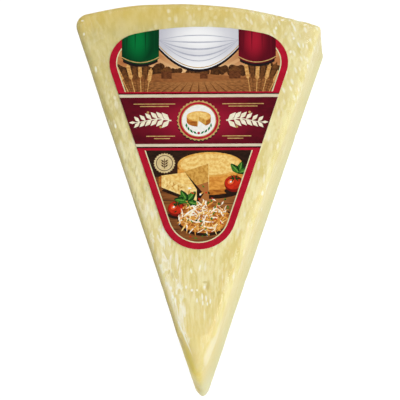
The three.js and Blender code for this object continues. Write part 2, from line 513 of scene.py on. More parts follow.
def spotMask(flat, spots):  # soft ovals on the upper face
    mask = 0
    tip = wedgeShape["tip"]
    for x, y, halfWidth, halfLength, turn in spots:
        place = Matrix.Rotation(-math.radians(turn), 2) @ Vector((x - tip[0], y - tip[1]))
        centred = moved(flat, (-place.x, -place.y, 0), -turn)
        away = measure("LENGTH", stretched(centred, (1 / halfWidth, 1 / halfLength, 0)))
        mask = calculate("MAXIMUM", mask, ramp(away, 0.5, 1.25, 1, 0))
    return mask


def sideMask(flat, reach, side):  # soft band along one cut face; side is -1 left, 1 right
    across = axes(moved(flat, turn=side * wedgeShape["halfAngle"]))[0]
    return ramp(product(across, -side), *reach, 1, 0)


def hazeMasks(flat, grain):  # patches along the left side where the film clings less, also a painted highlight along the left edge, and their outlines
    across, along, up = axes(moved(flat, turn=-wedgeShape["halfAngle"]))
    wander = calculate("MULTIPLY_ADD", grainNoise(flat, 0.2, 2, 0.5), 3.5, -1.75)
    reach = calculate("MINIMUM", calculate("MULTIPLY_ADD", along, 0.2, -2.2), 6.0)
    beyond = calculate("SUBTRACT", calculate("ADD", across, wander), reach)
    nearSide = product(ramp(beyond, -0.9, 0.5, 1, 0), ramp(across, -1.5, -0.3))
    middle = product(ramp(along, 6, 12), ramp(along, 38, 70, 1, 0.12))
    shown = product(nearSide, middle, ramp(up, 23.8, 24.8))
    cling = grainNoise(grain, 0.95, 3, 0.55, 0.6, shift=(7, 3, 1))
    fromOutline = calculate("ABSOLUTE", calculate("SUBTRACT", cling, 0.54))
    patch, outline = ramp(cling, 0.47, 0.54, 0.25, 1), ramp(fromOutline, 0.015, 0.06, 1, 0)
    return product(shown, patch), product(shown, outline)


def findPlaces(tree):  # where a point lies on the wedge: millimetres, and masks from 0 to 1
    at = SimpleNamespace()
    at.flat, at.grain = grainPlaces(tree, 0.14)
    at.x, at.y, at.z = axes(at.flat)
    at.cloud = grainNoise(at.flat, 0.055, 3, 0.55)
    # at.far grows towards the rind and the left side; the painted shade in toneCoats follows it
    far = calculate("MULTIPLY_ADD", at.x, -1.0, product(at.y, 0.8))
    at.far = calculate("MULTIPLY_ADD", at.cloud, 30, far)  # large towards the rind and the left side
    tip, centre = wedgeShape["tip"], wedgeShape["wheelCentre"]
    shift = (tip[0] - centre[0], tip[1] - centre[1], 0)
    at.radius = measure("LENGTH", moved(at.flat, shift, stretch=(1, 1, 0)))  # from the wheel's centre
    at.wanderingRadius = calculate("MULTIPLY_ADD", at.cloud, 4.0, at.radius)
    at.rearCorner = Vector(wedgeShape["rearCorner"]) - Vector(tip)
    fromCorner = measure("DISTANCE", at.flat, (*at.rearCorner, 25))
    at.corner = product(ramp(fromCorner, 20, 34, 1, 0), ramp(at.z, 17, 24, 0.15, 1))
    at.ridge = product(sideMask(at.flat, (-1.0, 2.8), 1), ramp(at.z, 22, 25))  # upper right edge
    at.calmCorner = ramp(at.far, 114, 132, 1, 0.15)
    at.calmTip = ramp(at.y, 10, 32, 0.25, 1)
    at.toRight = ramp(at.x, 12, 32, 1, 0.25)
    return at


# Each of these gives coats: a paint, and the share of it that shows over the coats before it

def toneCoats(at):  # slow changes over the whole piece
    edge = wedgeShape["wheelRadius"]
    return [
        # painted shade: the paste is painted darker towards the rind and the left side, where less light
        # falls
        ("shadyPaste", ramp(at.far, 34, 114)),
        ("warmPaste", product(ramp(at.y, 15, 75, 0.5, 0), ramp(at.y, 4, 16, 0.3, 1))),
        ("shadyPaste", product(ramp(at.y, 5, 15, 0.3, 0), ramp(at.z, 18, 24))),
        ("rimPaste", product(ramp(at.wanderingRadius, edge - 7, edge + 2.0, 0, 0.8), at.toRight)),
        ("goldPaste", product(ramp(at.cloud, 0.38, 0.62, 0, 0.35), at.toRight)),
    ]


def grainCoats(at):  # calmer in the rear left corner, down the sides, along the ridge and at the tip
    edge = wedgeShape["wheelRadius"]
    busy = product(ramp(at.far, 88, 130, 1, 0.35), ramp(at.z, 21, 25, 0.45, 1),
                   ramp(at.ridge, 0, 1, 1, 0.5), at.calmTip)
    coats = []
    for paint, scale, low, high, most, shift in cheeseLook["layers"]:
        texture = grainNoise(at.grain, scale, 3, 0.55, 0.3, shift=shift)
        coats.append((paint, product(ramp(texture, low, high, 0, most), busy)))
    return coats + [
        # painted highlight along the upper right edge
        ("ridgeHighlight", product(at.ridge, 0.4)),
        ("rimPaste", product(ramp(at.wanderingRadius, edge - 9, edge, 0, 0.4), at.toRight)),
        ("palePaste", product(at.corner, 0.25)),
    ]


def sliverCoats(at):
    look = cheeseLook
    edge = wedgeShape["wheelRadius"]
    spaces = {
        "grain": at.grain,
        "short": stretched(at.grain, (1, 2.2, 1)),
        "crossed": stretched(moved(at.flat, turn=-look["rearTurn"]), (1, 0.4, 1)),
        "leaning": moved(at.flat, turn=look["leftLean"], stretch=(1, 0.28, 1)),
    }
    patches = ramp(grainNoise(at.flat, 0.1, 2, 0.5, shift=(2, 40, 6)), 0.4, 0.6, 0.15, 1)
    patches = product(patches, at.calmTip, at.calmCorner)
    clusters = ramp(grainNoise(at.flat, 0.16, 2, 0.5, stretch=(1, 0.4, 1), shift=(11, 3, 7)), 0.5, 0.6)
    places = {
        "patches": patches,
        "middle": product(patches, calculate("SUBTRACT", 1, at.corner)),
        "corner": at.corner,
        "rim": product(clusters, ramp(at.radius, edge - 13, edge - 9), at.calmCorner),
        "left": product(sideMask(at.flat, (7, 11), -1), ramp(at.y, 44, 60), ramp(at.y, 94, 106, 1, 0.1)),
    }
    coats = []
    for paint, strength, space, scale, share, size, shift, place in look["slivers"]:
        shape = product(slivers(spaces[space], scale, share, size, shift), places[place])
        coats.append((paint, product(shape, strength)))
    return coats


def spotCoats(at):
    hazeAndHighlight, outline = hazeMasks(at.flat, at.grain)
    return [
        # pale patches of film cling and painted highlight along the left edge
        ("hazeAndHighlight", product(hazeAndHighlight, 0.55)),
        ("fleck", product(outline, 0.6)),
        # painted shade inside the two largest pits
        ("pitShade", product(spotMask(at.flat, cheeseLook["pitShadeSpots"]), 0.6)),
        ("fleck", product(spotMask(at.flat, cheeseLook["flecksAndGlint"]), 0.85)),
    ]


def faceCoats(at):  # the two cut faces, and the edge above the left one, with painted light, reflection and shade on them
    rightFace = product(sideMask(at.flat, (-1.5, 0.5), 1), ramp(at.z, 20, 24, 1, 0))
    leftFace = product(sideMask(at.flat, (-1.5, 0.5), -1), ramp(at.z, 17, 22, 1, 0), ramp(at.y, 12, 26))
    leftEdge = product(sideMask(at.flat, (-2.0, -0.6), -1), ramp(at.y, 6, 24))
    return [
        ("footPaste", ramp(at.z, -4, 25, 1, 0)),
        # painted reflection: the film's pale sheen on the right cut face, heaviest near its foot
        ("rightFaceSheen", product(rightFace, ramp(at.z, 0, 8, 0.75, 0.35))),
        # painted light: the left cut face is painted warmer and lighter where it turns away from the
        # lamps
        ("leftFaceLight", product(leftFace, 0.45)),
        # painted shade along the rounded left edge, darkest just below the top, where the lamps barely
        # reach
        ("leftTurnShade", product(leftEdge, band(at.z, 22, 23.5, 24.9, 25.35), 0.5)),
        ("leftEdgeShade", product(leftEdge, band(at.z, 22.3, 23.4, 23.8, 24.5), 0.7)),
    ]


def tipCoats(at):
    look = cheeseLook
    foot = product(ramp(at.y, 4, 12, 1, 0), ramp(at.z, 5, 18, 1, 0), 0.65)
    footPaint = blendColours(ramp(at.x, -1.6, 0.4), look["warmPaste"], look["tipFootSheen"])
    onFace = product(sideMask(at.flat, (0.4, 2.4), -1), ramp(at.z, 7, 17))
    onTop = sideMask(at.flat, (-1.2, 0.6), -1)
    left = nextNode("Mix", {0: ramp(at.z, 20, 24), 2: onFace, 3: onTop}).outputs[0]
    # a painted highlight along the tip's upper right edge, in the sliver colour
    ridge = product(ramp(at.x, 0.4, 1.2), band(at.y, 5, 8, 12, 24), band(at.z, 19, 21.5, 23.6, 24.6))
    return [
        # at the tip's foot: a painted pale reflection on its right side, warmer paste on its left
        (footPaint, foot),
        # painted light: a brighter gold on the tip's left faces, which the lamps leave dim
        ("tipLeftLight", product(left, ramp(at.y, 8, 15, 1, 0), 0.75)),
        ("sliverAndHighlight", product(ridge, 0.6)),
    ]


def rindCoats(at):  # the rind starts under the rounded edge and ends at the right corner
    look = cheeseLook
    edge, right = wedgeShape["wheelRadius"], at.rearCorner.x
    share = product(ramp(at.radius, edge - 1.3, edge - 0.7), ramp(at.z, 20.5, 24.0, 1, 0),
                    ramp(at.x, right - 4, right - 0.8, 1, 0))
    pores = ramp(grainNoise(at.flat, 0.5, 4, 0.62, stretch=(1, 1, 1.6)), 0.34, 0.66)
    return [(blendColours(pores, look["rindPores"], look["rind"]), share)]


def makeCheeseMaterial():
    look = cheeseLook
    values = {"Roughness": 0.5, "Subsurface Weight": 0.3, "Subsurface Radius": (1.0, 0.75, 0.32),
              "Subsurface Scale": 2.5 * mm}
    material, tree, surface = newMaterial("cheesePaste", values)
    at = findPlaces(tree)
    sliverShares = sliverCoats(at)
    colour = look["paste"]
    for paint, share in (toneCoats(at) + grainCoats(at) + sliverShares + spotCoats(at)
                         + faceCoats(at) + tipCoats(at) + rindCoats(at)):
        colour = blendColours(share, colour, look[paint] if isinstance(paint, str) else paint)
    widest = sliverShares[0][1]  # they also stand out a little
    height = calculate("MULTIPLY_ADD", widest, 2, grainNoise(at.flat, 1.6, 3, 0.6))
    bump = nextNode("Bump", {"Strength": 0.35, "Distance": 0.15 * mm, "Height": height})
    fillSockets(surface, {"Base Color": colour, "Normal": bump.outputs[0]})
    return material


cheese = makeCheese()
cheese.data.materials.clear()
cheese.data.materials.append(makeCheeseMaterial())
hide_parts("wedge")
print("cheese modelled:", len(cheese.data.polygons), "faces")


# The clear film drawn tight over the cheese

filmSettings = {
    "voxel": 0.5,
    "creases": [  # start, end, half width, height
        ((-4.9, -46.5, 25.4), (-1.5, -56.6, 25.2), 0.55, 0.22),
        ((38.0, 51.2, 25.2), (32.6, 47.6, 25.4), 0.5, 0.28),
        ((38.0, 51.2, 25.2), (33.6, 50.9, 25.4), 0.45, 0.22),
        ((38.0, 51.2, 25.2), (35.2, 44.6, 25.4), 0.5, 0.25),
        ((38.0, 51.2, 24.6), (36.9, 43.0, 24.8), 0.5, 0.2),
        ((-38.0, 54.4, 25.0), (-34.0, 50.4, 25.4), 0.5, 0.18),
        ((-38.0, 54.4, 25.0), (-36.2, 48.2, 25.4), 0.45, 0.16),
    ],
    "flapStep": 0.22,  # how far a folded layer stands out
    "rearFlaps": [  # on the rear face: distance round the arc, then height
        [(-41, 1), (-20, 1), (-38, 24.5), (-41, 24.5)],
        [(22, 1), (41, 1), (41, 24.5), (38, 24.5)],
        [(-24, -1), (26, -1), (15, 11), (-13, 11)],
    ],
    "footSeam": [(-3.5, -54), (3.5, -54), (5.5, 64), (-3.5, 64)],  # across and along the underside
    "footPress": 0.12,
    "wrinkles": 46,  # short folds that rise from the foot of the sides
    "hangingShare": 0.35,  # these hang from the upper edge instead
    "wrinkleSpan": (12, 118),  # along the side from the tip
    "wrinkleHeight": (5, 15),
    "wrinkleLean": 5,
    "wrinkleWidth": (0.5, 0.8),
    "wrinkleLift": (0.1, 0.28),
    "pulls": [  # where the film stands off: place, reach, height
        ((33.0, 54.4), 5.5, 0.55),
        ((38.6, 51.0), 3.2, 0.35),
        ((-38.4, 54.0), 3.2, 0.3),
    ],
    "rightFlare": 0.35,  # more than the left side has
    "seed": 5,
}


def creaseHeight(place, crease):
    start, end, width, height = crease
    along = end - start
    share = (place - start).dot(along) / along.length_squared
    if not -0.1 < share < 1.1:
        return 0
    away = place - (start + along * share)
    if away.length_squared > 9 * width * width:
        return 0
    taper = smoothStep(-0.1, 0.15, share) * (1 - smoothStep(0.75, 1.1, share))
    return height * taper * math.exp(-away.length_squared / (width * width))


def insideDepth(point, corners):  # how far a flat point lies inside a fold's outline, in millimetres
    depth = 1000
    for index, corner in enumerate(corners):
        edge = corners[(index + 1) % len(corners)] - corner
        depth = min(depth, edge.normalized().cross(point - corner))
    return depth


def makeWrinkles(settings):
    draw = random.Random(settings["seed"])
    turn = math.radians(wedgeShape["halfAngle"])
    tip = Vector((*wedgeShape["tip"], 0))
    top = wedgeShape["topHeight"]
    wrinkles = []
    for wrinkle in range(settings["wrinkles"]):
        side = draw.choice((-1, 1))
        along = Vector((side * math.sin(turn), math.cos(turn), 0))
        foot = tip + along * draw.uniform(*settings["wrinkleSpan"])
        foot += Vector((side * math.cos(turn), -math.sin(turn), 0)) * 2
        head = foot + along * draw.gauss(0, settings["wrinkleLean"])
        head.z += draw.uniform(*settings["wrinkleHeight"])
        if draw.random() < settings["hangingShare"]:
            foot.z, head.z = top - 1, top - head.z * 0.6
        width = draw.uniform(*settings["wrinkleWidth"])
        wrinkles.append((foot, head, width, draw.uniform(*settings["wrinkleLift"])))
    return wrinkles


def makeFilm():
    settings = filmSettings
    mesh = evenMesh("wedge", settings["voxel"])
    creases = [(Vector(a), Vector(b), width, height) for a, b, width, height in settings["creases"]]
    wrinkles = makeWrinkles(settings)
    flaps = [[Vector(corner) for corner in flap] for flap in settings["rearFlaps"]]
    seam = [Vector(corner) for corner in settings["footSeam"]]
    centre, radius = Vector(wedgeShape["wheelCentre"]), wedgeShape["wheelRadius"]
    pulls = [(Vector(spot), reach, height) for spot, reach, height in settings["pulls"]]

    def liftAt(place, normal):
        flat = place.to_2d()
        upright = 1 - smoothStep(0.2, 0.7, abs(normal.z))
        if normal.z > 0.5:  # the upper face
            return sum(creaseHeight(place, crease) for crease in creases)
        if normal.z < -0.7:  # the underside
            return settings["footPress"] * (smoothStep(-0.4, 0.4, insideDepth(flat, seam)) - 1)
        lift = sum(creaseHeight(place, crease) for crease in creases + wrinkles)
        for spot, reach, height in pulls:
            lift += height * upright * math.exp(-((flat - spot).length / reach) ** 2)
        if normal.x > 0.7:  # the right side
            lift += settings["rightFlare"] * upright * (1 - smoothStep(2, 20, place.z))
        outward = flat - centre
        if outward.length > radius - 2.5:  # the rear
            unrolled = Vector((radius * math.atan2(outward.x, outward.y), place.z))
            for flap in flaps:
                fold = smoothStep(-0.35, 0.35, insideDepth(unrolled, flap))
                lift += settings["flapStep"] * upright * fold
        return lift

    shiftSurface(mesh, liftAt)
    mesh.name = "film"
    return newPiece("film", mesh)


def makeFilmMaterial():
    material = bpy.data.materials.new("clearFilm")
    material.use_nodes = True
    tree = material.node_tree
    tree.nodes.clear()
    flat, grain = grainPlaces(tree, 0.3)
    waves = grainNoise(grain, 0.5, 3, 0.55, 0.4)
    bump = nextNode("Bump", {"Strength": 0.5, "Distance": 0.25 * mm, "Height": waves}).outputs[0]
    clear = addNode(tree, "BsdfTransparent", {"Color": (1, 1, 1, 1)})
    gloss = addNode(tree, "BsdfGlossy", {"Color": (1, 1, 1, 1), "Roughness": 0.18, "Normal": bump})
    fresnel = addNode(tree, "Fresnel", {"IOR": 1.4, "Normal": bump})
    outside = calculate("SUBTRACT", 1, addNode(tree, "NewGeometry").outputs["Backfacing"])
    mirror = calculate("MINIMUM", product(fresnel.outputs[0], outside), 0.03)
    mirror = product(mirror, ramp(axes(flat)[1], 10, 20, 0.1, 1))  # least gloss at the tip
    mixed = nextNode("MixShader", {0: mirror, 1: clear.outputs[0], 2: gloss.outputs[0]})
    addNode(tree, "OutputMaterial", {"Surface": mixed.outputs[0]})
    return material


film = makeFilm()
film.data.materials.clear()
film.data.materials.append(makeFilmMaterial())
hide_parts("wedge")
print("film modelled:", len(film.data.polygons), "faces")


# The printed label: flat shapes laid over each other in order, then pressed into one sheet.
# Its own plane is in millimetres, u across and v towards the rind, measured from its hub.

labelSettings = {
    "hub": (-0.101, 32.311),  # where the label's own zero lies
    "turn": 0.32,  # degrees
    "pastSides": 40,  # these three lie beyond the label's edges
    "pastFoot": -60,
    "pastTop": 30,
    "border": 2.1,
    "hairline": 0.35,
    "countryFoot": -1.4,  # lower edge of the country scene
    "bandTop": -3.3,
    "bandFoot": -18.9,
    "tableTop": -21.05,  # upper edge of the still life
    "drapesFoot": 6.6,  # no fold of the drapes shows below this level
    "seed": 3,
    "glows": [  # place and reach of the print's lighter patches
        ((0, 4), (25, 13)),
        ((0, -11), (24, 10)),
        ((2, -36), (14, 18)),
        ((-19.4, 16), (5.4, 9)),  # the fullest part of each drape
        ((0, 17), (14, 9)),
        ((17.6, 16), (5.0, 9)),
    ],
}

# colour, second colour, streaks across and along for each millimetre, then a glow and its strength
inks = {
    "paper": ((246, 244, 238), (238, 235, 226), 1, 1),
    "crimson": ((184, 22, 48), (172, 18, 42), 0.4, 0.4),
    "deepCrimson": ((66, 4, 14), (56, 2, 10), 0.5, 0.5),
    "hairlineInk": ((226, 222, 178), (212, 206, 158), 0.5, 0.5),
    "sky": ((196, 130, 80), (172, 104, 60), 0.12, 0.35, (232, 186, 130), 0.9),
    "sunRay": ((212, 150, 96), (192, 126, 74), 0.12, 0.3, (240, 202, 148), 0.9),
    "farHill": ((168, 106, 60), (140, 82, 42), 0.5, 1.2, (206, 142, 86), 0.6),
    "midHill": ((140, 82, 42), (98, 54, 26), 0.8, 1.6, (184, 120, 68), 0.5),
    "nearHill": ((160, 102, 54), (108, 64, 32), 0.9, 2.2, (196, 136, 80), 0.4),
    "furrow": ((96, 56, 28), (120, 72, 36), 1, 1),
    "bush": ((58, 34, 18), (92, 56, 28), 1.3, 1.3),
    "barn": ((116, 66, 36), (84, 46, 24), 1, 2),
    "ear": ((226, 176, 106), (190, 132, 70), 1.4, 1.4),
    "earShade": ((120, 74, 36), (88, 52, 26), 1.4, 1.4),
    "green": ((0, 62, 30), (0, 52, 26), 0.3, 0.02, (0, 116, 54), 1),
    "greenFold": ((0, 70, 34), (0, 58, 28), 0.5, 0.03),
    "white": ((206, 206, 214), (196, 196, 206), 0.2, 0.02, (252, 252, 252), 1),
    "whiteFold": ((186, 188, 200), (174, 176, 190), 0.5, 0.03),
    "red": ((92, 10, 26), (80, 8, 22), 0.3, 0.02, (166, 24, 46), 1),
    "redFold": ((112, 14, 32), (98, 10, 28), 0.5, 0.03),
    "dropShade": ((36, 26, 26), (26, 20, 22), 0.6, 0.6),
    "band": ((96, 12, 28), (82, 10, 24), 0.3, 0.5, (158, 24, 50), 1),
    "rule": ((222, 210, 184), (212, 198, 170), 0.3, 2),
    "cream": ((246, 240, 216), (236, 228, 196), 0.8, 0.8),
    "gold": ((206, 172, 108), (182, 146, 86), 0.8, 0.8),
    "leaf": ((20, 120, 56), (10, 92, 42), 0.9, 0.9),
    "table": ((50, 30, 20), (36, 22, 15), 0.5, 1.2, (104, 62, 34), 0.9),
    "board": ((138, 82, 40), (92, 52, 26), 0.14, 1.5, (182, 116, 60), 0.8),
    "boardLine": ((62, 36, 20), (80, 46, 24), 0.6, 0.6),
    "shadow": ((46, 26, 16), (34, 20, 13), 0.6, 0.6),
    "rind": ((196, 120, 44), (150, 82, 28), 0.5, 1.4),
    "rindLight": ((232, 164, 72), (204, 130, 50), 0.6, 1.2),
    "cheeseTop": ((240, 190, 100), (218, 156, 68), 0.7, 0.9),
    "cheesePale": ((250, 218, 138), (230, 180, 92), 0.9, 1.1),
    "cutFace": ((248, 222, 150), (226, 182, 98), 1.1, 0.8),
    "cutShade": ((222, 172, 84), (190, 134, 56), 1.1, 0.8),
    "tomatoShade": ((132, 22, 12), (104, 16, 10), 0.8, 0.8),
    "tomato": ((206, 48, 22), (180, 34, 16), 0.7, 0.7),
    "tomatoLight": ((240, 112, 58), (226, 84, 38), 1.2, 1.2),
    "basilShade": ((24, 62, 20), (16, 46, 16), 1.2, 1.2),
    "basil": ((66, 128, 40), (42, 96, 30), 1.6, 1.6),
    "basilLight": ((128, 174, 78), (104, 154, 62), 1.6, 1.6),
    "shred": ((253, 248, 236), (244, 232, 200), 1, 1),
    "shredGold": ((234, 176, 84), (206, 138, 54), 1, 1),
    "shredShade": ((190, 112, 44), (150, 78, 28), 1, 1),
    "seal": ((222, 200, 150), (208, 184, 130), 0.7, 0.7),
    "sealLine": ((84, 54, 34), (70, 44, 28), 1, 1),
}

inkLayers = ("ink", "shade", "glow", "streaks")  # on each corner of the printed faces
artwork = []  # outline, ink, and the window inside which each shape shows


def printShape(outline, ink, window="sheet"):
    artwork.append((outline, ink, window))


def onCountry(outline, ink):
    printShape(outline, ink, "country")


def onTable(outline, ink):
    printShape(outline, ink, "table")


def roundShape(centre, radii, turn=0, steps=24, pinch=0, bend=0):  # a disc, an oval, a leaf or a shred
    work = bmesh.new()
    bmesh.ops.create_circle(work, cap_ends=True, segments=steps, radius=1)
    for vert in work.verts:
        along = vert.co.x
        across = vert.co.y * (1 - pinch * abs(along))
        vert.co = (along * radii[0], across * radii[1] + bend * (1 - along * along), 0)
    place = Matrix.Translation((centre[0], centre[1], 0)) @ Matrix.Rotation(math.radians(turn), 4, "Z")
    bmesh.ops.transform(work, matrix=place, verts=work.verts)
    work.faces.ensure_lookup_table()
    outline = [vert.co.to_2d() for vert in work.faces[0].verts]
    work.free()
    return outline


def discShape(centre, radius, steps):
    return roundShape(centre, (radius, radius), steps=steps)


def scallopShape(centre, outer, inner, points):
    outline = discShape(centre, outer, 2 * points)
    middle = Vector(centre)
    for index in range(1, 2 * points, 2):
        outline[index] = middle + (outline[index] - middle) * (inner / outer)
    return outline


def boxShape(left, low, right, high):
    return [(left, low), (right, low), (right, high), (left, high)]


def levelShape(low, high):  # from side to side between two levels
    return boxShape(-labelSettings["pastSides"], low, labelSettings["pastSides"], high)


def crestShape(base, crest, left=-32, right=32, steps=40):  # everything between a level and a wavy edge
    edge = [(right + (left - right) * step / steps, 0) for step in range(steps + 1)]
    return [(left, base), (right, base)] + [(u, crest(u)) for u, v in edge]


def stripShape(middle, width, steps=16):  # a strip of varying width along middle(share)
    left, right = [], []
    for step in range(steps + 1):
        share = step / steps
        here = middle(share)
        ahead = middle(share + 0.01) - middle(share - 0.01)
        across = Vector((-ahead.y, ahead.x)).normalized() * (width(share) / 2)
        left.append(here + across)
        right.append(here - across)
    return left + right[::-1]


def drumShape(centre, radii, height, steps=20):  # the side of a wheel that lies flat
    (u, v), (across, along) = centre, radii
    foot = []
    for step in range(steps + 1):
        angle = math.pi * step / steps
        foot.append((u + across * math.cos(angle), v - along * math.sin(angle) - height))
    return [(u + across, v)] + foot + [(u - across, v)]


def insetOutline(outline, depth):
    work = bmesh.new()
    face = work.faces.new([work.verts.new((u, v, 0)) for u, v in outline])
    face.normal_update()
    bmesh.ops.inset_individual(work, faces=[face], thickness=depth, use_even_offset=True)
    inner = [vert.co.to_2d() for vert in face.verts]
    work.free()
    return inner


def pointAt(angle, length=1):  # angle in degrees
    return Vector((math.cos(math.radians(angle)), math.sin(math.radians(angle)))) * length


def drawCountry(draw):
    foot = labelSettings["countryFoot"]
    printShape(levelShape(foot, labelSettings["pastTop"]), "sky", "field")
    for ray in range(-9, 10):
        angle = 90 + ray * 9.5
        onCountry([(0, 2), pointAt(angle - 2, 36), pointAt(angle + 2, 36)], "sunRay")
    onCountry(crestShape(foot, lambda u: 5.4 + 0.9 * math.sin(u / 5.1 + 0.6)), "farHill")
    for tree in range(34):
        u = -26 + 52 * (tree + draw.uniform(0, 1)) / 34
        size = draw.uniform(0.7, 1.5) * (1 + 0.5 * smoothStep(7, 18, abs(u)))
        for crown in range(4):
            place = Vector((u, 4.4 + size * 0.9)) + pointAt(draw.uniform(0, 360), size * 0.5)
            radii = (size * 0.75, size * draw.uniform(0.7, 1.0))
            onCountry(roundShape(place, radii, steps=10), "bush")
    onCountry(crestShape(foot, lambda u: 4.3 + 0.7 * math.sin(u / 7.3 + 2.4)), "midHill")
    for u, size in ((-10.2, 1.1), (1.6, 0.8), (11.4, 1.2)):  # barns
        onCountry(boxShape(u - 1.5 * size, 3.0, u + 1.5 * size, 3.4 + 2.0 * size), "barn")
        eaves = 3.3 + 2.0 * size
        roof = [(u - 1.9 * size, eaves), (u + 1.9 * size, eaves), (u, 3.3 + 3.6 * size)]
        onCountry(roof, "earShade")
    onCountry(crestShape(foot, lambda u: 2.3 + 0.5 * math.sin(u / 9.0 - 0.8)), "nearHill")
    for furrow in range(-11, 12):
        u = furrow * 2.9
        onCountry([(u - 0.3, foot), (u + 0.3, foot), (furrow * 1.6, 2.1)], "furrow")
    for side in (-1, 1):  # wheat that leans outwards
        for ear in range(7):
            base = (side * (16.2 + 1.0 * ear), foot)
            ink = "earShade" if ear % 2 else "ear"
            drawEar(base, 90 - side * (5.5 * ear - 8), draw.uniform(6.5, 9.5), ink)


def drawEar(base, lean, height, ink):
    foot = Vector(base)
    rise = pointAt(lean)
    onCountry(stripShape(lambda share: foot + rise * height * share, lambda share: 0.26, 2), ink)
    for grain in range(5):
        spot = foot + rise * (height * (0.52 + 0.1 * grain))
        for side in (-1, 1):
            tilt = lean + side * 24
            onCountry(roundShape(spot + pointAt(tilt, 0.6), (0.8, 0.36), tilt, 8, 0.5), ink)
    onCountry(roundShape(foot + rise * (height + 0.6), (0.9, 0.34), lean, 8, 0.5), ink)


def drawDrapes():  # two drapes and a deep swag between them, hung along the top edge
    drawSwag()
    for side, ink in ((-1, "green"), (1, "red")):
        left, right = sorted((side * 24.4, side * 12.6))
        middle, reach = (left + right) / 2, (right - left) / 2

        def hem(u):
            return 9.9 - 1.9 * (1 - ((u - middle) / reach) ** 2)

        hangCloth(left, right, hem, ink)
        folds = ((0.14, 0.03, 11), (0.36, 0.02, 8), (0.63, 0.022, 9), (0.86, 0.03, 12))
        for share, width, length in folds:
            top = (left + (right - left) * share, 20)
            fold = roundShape(top, (length, (right - left) * width), 90 + 3 * (share - 0.5), 20, 0.8)
            printShape(fold, ink + "Fold", "drapes")
        trimHem(left, right, hem)


def drawSwag():
    reach = 13.4

    def hem(u, depth=8.4):
        return 14.6 - depth * (1 - (u / reach) ** 2)

    hangCloth(-reach, reach, hem, "white")
    for depth, width in ((-1.6, 0.5), (0.8, 0.8), (3.2, 1.0), (5.4, 0.9), (7.2, 0.5)):
        def arc(share):  # a fold that hangs in an arc
            u = reach * (2 * share - 1)
            return Vector((u * 0.94, hem(u, depth) + 1.6))

        fold = stripShape(arc, lambda share: 2 * width * share * (1 - share) + 0.05)
        printShape(fold, "whiteFold", "drapes")
    trimHem(-reach, reach, hem)


def hangCloth(left, right, hem, ink):  # from above the label's edge down to its hem, over its own shade
    top = labelSettings["pastTop"]
    shade = crestShape(top, lambda u: hem(u) - 0.9, left + 0.4, right - 0.4, 20)
    printShape(shade, "dropShade", "field")
    printShape(crestShape(top, hem, left, right, 20), ink)


def trimHem(left, right, hem):
    def line(share):
        u = left + (right - left) * share
        return Vector((u, hem(u) + 0.55))

    printShape(stripShape(line, lambda share: 0.3), "gold")


def drawBand():
    foot, top = labelSettings["bandFoot"], labelSettings["bandTop"]
    for below, above, ink in ((2.15, 1.9, "crimson"), (1.4, 1.45, "deepCrimson"), (0.92, 1.03, "rule")):
        printShape(levelShape(foot - below, top + above), ink)
    printShape(levelShape(foot, top), "band")
    middle = (foot + top) / 2
    for side in (-1, 1):
        for height, near, far in ((top - 2.2, 7.4, 20.5), (top - 3.0, 9.4, 18.5),
                                  (foot + 2.6, 7.4, 16.5), (foot + 1.8, 9.0, 14.0)):
            low, high = sorted((side * near, side * far))
            printShape(boxShape(low, height - 0.15, high, height + 0.15), "gold")
        drawGarland(side, middle)
    drawEmblem((0, middle))


def drawGarland(side, middle):
    def stem(share):
        return Vector((side * (8.6 + 11.2 * share), middle + 0.6 * math.sin(share * 4.6)))

    printShape(stripShape(stem, lambda share: 0.42 - 0.2 * share), "cream")
    leaves = 6
    for leaf in range(leaves):
        share = (leaf + 0.3) / leaves
        size = 1.75 * (1 - 0.3 * share)
        for lift in (-1, 1):
            angle = (0 if side > 0 else 180) + side * lift * 46
            place = stem(share) + pointAt(angle, size * 1.05)
            printShape(roundShape(place, (size, size * 0.46), angle, 14, 0.7), "cream")
    for berry in range(2):
        place = stem(0.3 + 0.36 * berry) + Vector((0, 2.7 if berry % 2 else -2.7))
        printShape(discShape(place, 0.42, 10), "gold")
    printShape(roundShape(stem(1) + Vector((side * 1.0, 0)), (1.1, 0.45), 0, 12, 0.7), "cream")


def drawEmblem(centre):  # a cheese wheel over two sprigs, on a scalloped disc
    middle = Vector(centre)
    printShape(scallopShape(middle + Vector((0, -0.3)), 7.0, 6.6, 32), "dropShade")
    printShape(scallopShape(centre, 6.9, 6.5, 32), "gold")
    for radius, ink in ((6.2, "crimson"), (5.5, "gold"), (5.25, "paper")):
        printShape(discShape(centre, radius, 48), ink)
    hub = middle + Vector((0, 1.4))
    near = hub + Vector((-0.4, -1.7))
    edge = hub + Vector((2.3, -1.4))
    printShape(drumShape(hub, (3.8, 1.75), 1.7), "rind")
    printShape(roundShape(hub, (3.8, 1.75), steps=32), "cheeseTop")
    printShape(roundShape(hub, (3.3, 1.4), steps=32), "cheesePale")
    drop = Vector((0, -1.7))
    notch = hub + Vector((0, -1.5))  # the wheel's front is cut away up to here
    printShape([hub, near, near + drop, notch], "cutFace")
    printShape([hub, notch, edge + drop, edge], "cutShade")
    opening = [near + Vector((0, -1.8)), notch, edge + Vector((0, -1.8)), hub + Vector((1.6, -4.0))]
    printShape(opening, "paper")
    for side in (-1, 1):
        for step in range(4):
            angle = 270 + side * (16 + 17 * step)
            place, turn = middle + pointAt(angle, 4.2), angle + 90 + side * 22
            printShape(roundShape(place, (0.85, 0.32), turn, 12, 0.8), "leaf")
    printShape(discShape(middle + Vector((0, -4.2)), 0.45, 12), "crimson")


